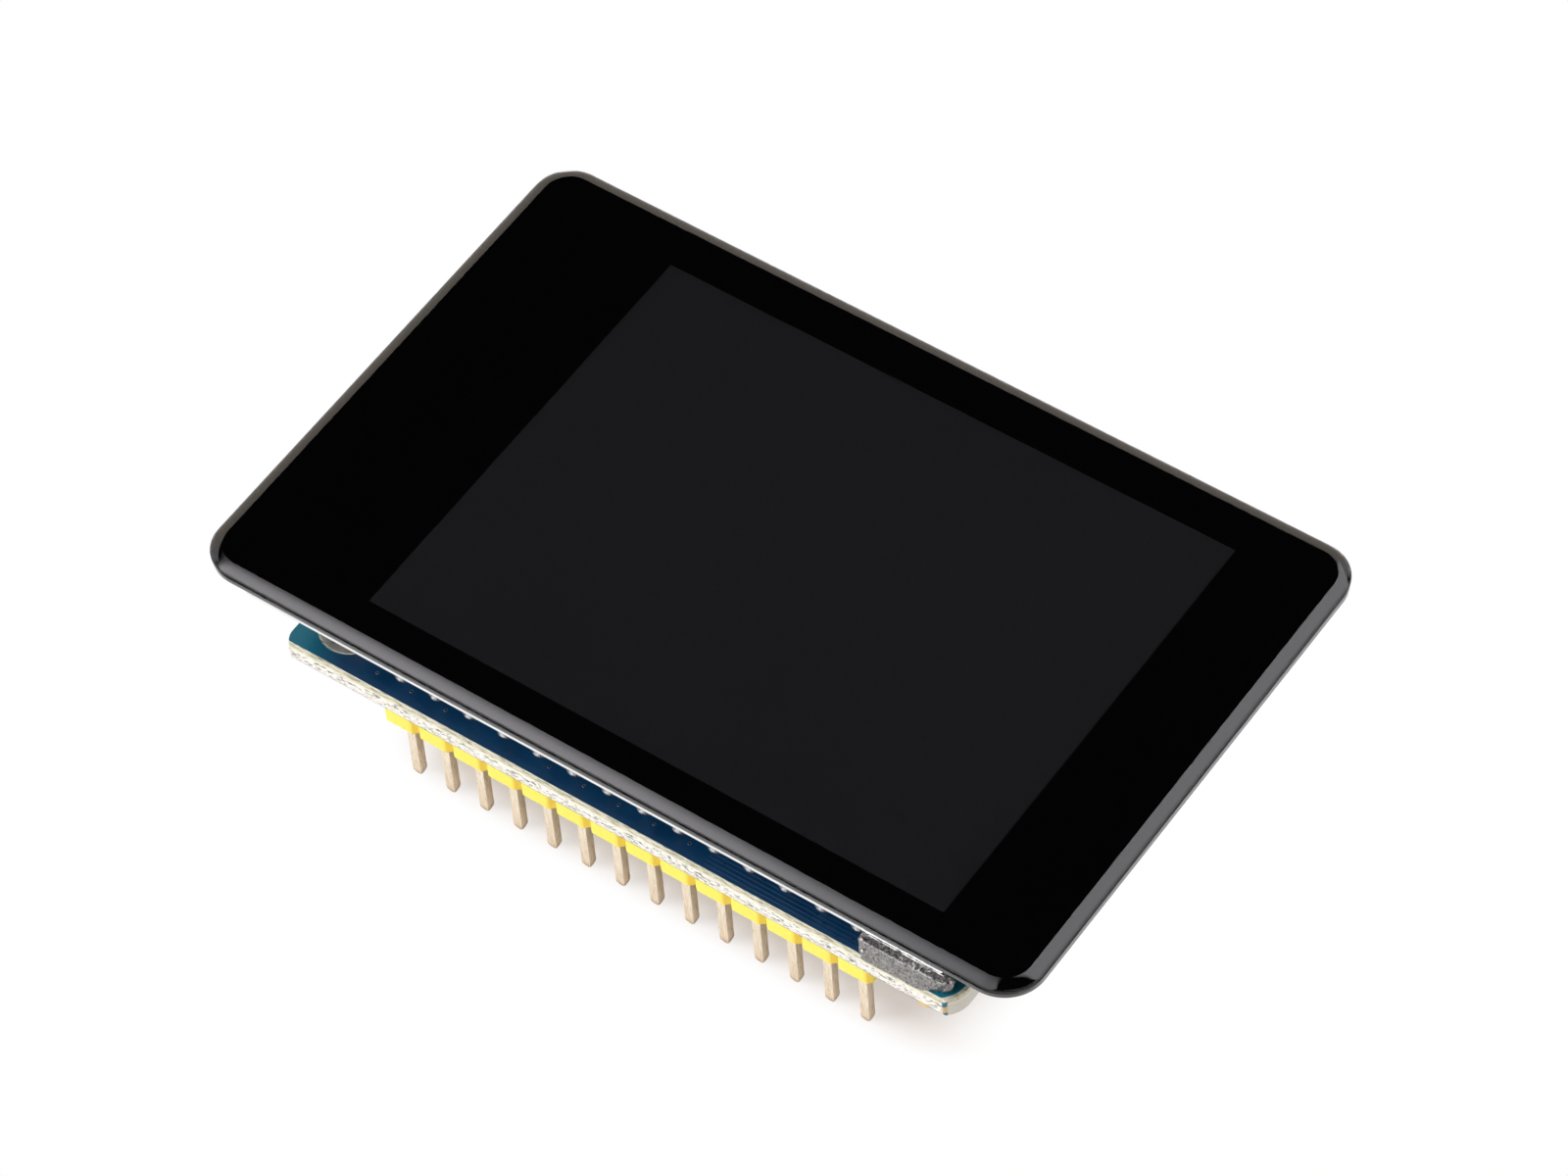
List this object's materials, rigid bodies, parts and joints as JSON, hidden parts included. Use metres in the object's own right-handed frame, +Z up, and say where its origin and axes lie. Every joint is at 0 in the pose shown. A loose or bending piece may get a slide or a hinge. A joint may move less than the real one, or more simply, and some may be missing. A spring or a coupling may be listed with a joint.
{
  "type": "touch display board",
  "caption": "Small touch display board: curved-edge black cover glass over a backlit screen, carried by a circuit board on two rows of header pins.",
  "frame": {"origin": "on the plane of the pin tips, under the middle of the cover glass", "axes": "+X along the glass's long side, towards the narrower end border; +Y towards the back long side; +Z up through the glass"},
  "size_m": [0.0592, 0.0374, 0.0145],
  "materials": {
    "cover_glass": "polished clear glass with a rounded edge",
    "black_ink": "screen-printed black ink",
    "clear_film": "clear conductive film",
    "black_adhesive": "black double-sided adhesive",
    "polariser_film": "dark grey polarising film",
    "pane_glass": "thin display glass",
    "bare_silicon": "ground bare chip",
    "light_sheet": "white light sheet",
    "guide_acrylic": "clear acrylic",
    "flex_film": "amber polyimide film over copper",
    "lamp_resin": "phosphor resin",
    "white_moulding": "white moulded resin",
    "tray_steel": "bright pressed steel",
    "solder": "dull tin solder",
    "chip_resin": "black moulded chip resin",
    "foam_tape": "black foam tape",
    "board_laminate": "dark blue solder mask over cream laminate",
    "tinned_copper": "tinned copper",
    "yellow_nylon": "yellow moulded nylon",
    "tinned_brass": "matt tin plate on brass wire",
    "socket_moulding": "cream moulded resin",
    "gold_plate": "gold plate",
    "part_ceramic": "fired ceramic",
    "lid_metal": "seam-welded metal lid",
    "ferrite": "moulded ferrite",
    "capacitor_ceramic": "tan ceramic"
  },
  "bodies": {
    "root": {"cover_glass": "cover_glass", "black_border": "black_ink", "touch_sensor": "clear_film", "panel_gasket": "black_adhesive", "front_polariser": "polariser_film", "filter_pane": "pane_glass", "transistor_pane": "pane_glass", "driver_chip": "bare_silicon", "rear_polariser": "polariser_film", "prism_sheet": "light_sheet", "diffuser_sheet": "light_sheet", "light_guide": "guide_acrylic", "reflector_sheet": "light_sheet", "lamp_strip": "flex_film", "backlight_lamps": "lamp_resin", "screen_frame": "white_moulding", "screen_tray": "tray_steel", "screen_tail": "flex_film", "screen_tail_solder": "solder", "touch_tail": "flex_film", "touch_tail_solder": "solder", "touch_chip": "chip_resin", "foam_tape_front": "foam_tape", "foam_tape_rear": "foam_tape", "circuit_board": "board_laminate", "hole_plating": "tinned_copper", "header_strip_front": "yellow_nylon", "header_strip_rear": "yellow_nylon", "header_pins_front": "tinned_brass", "header_pins_rear": "tinned_brass", "header_solder_front": "solder", "header_solder_rear": "solder", "frame_solder": "solder", "socket_base": "socket_moulding", "socket_ring": "gold_plate", "socket_pin": "gold_plate", "controller_chip": "chip_resin", "controller_contacts_row": "tinned_copper", "memory_chip": "chip_resin", "memory_leads": "tinned_copper", "crystal_base": "part_ceramic", "crystal_lid": "lid_metal", "regulator_chip": "chip_resin", "regulator_leads": "tinned_copper", "power_inductor": "ferrite", "inductor_ends": "tinned_copper", "capacitor_bodies": "capacitor_ceramic", "capacitor_ends": "tinned_copper", "resistor_bodies": "chip_resin", "resistor_ends": "tinned_copper"}
  },
  "joints": []
}
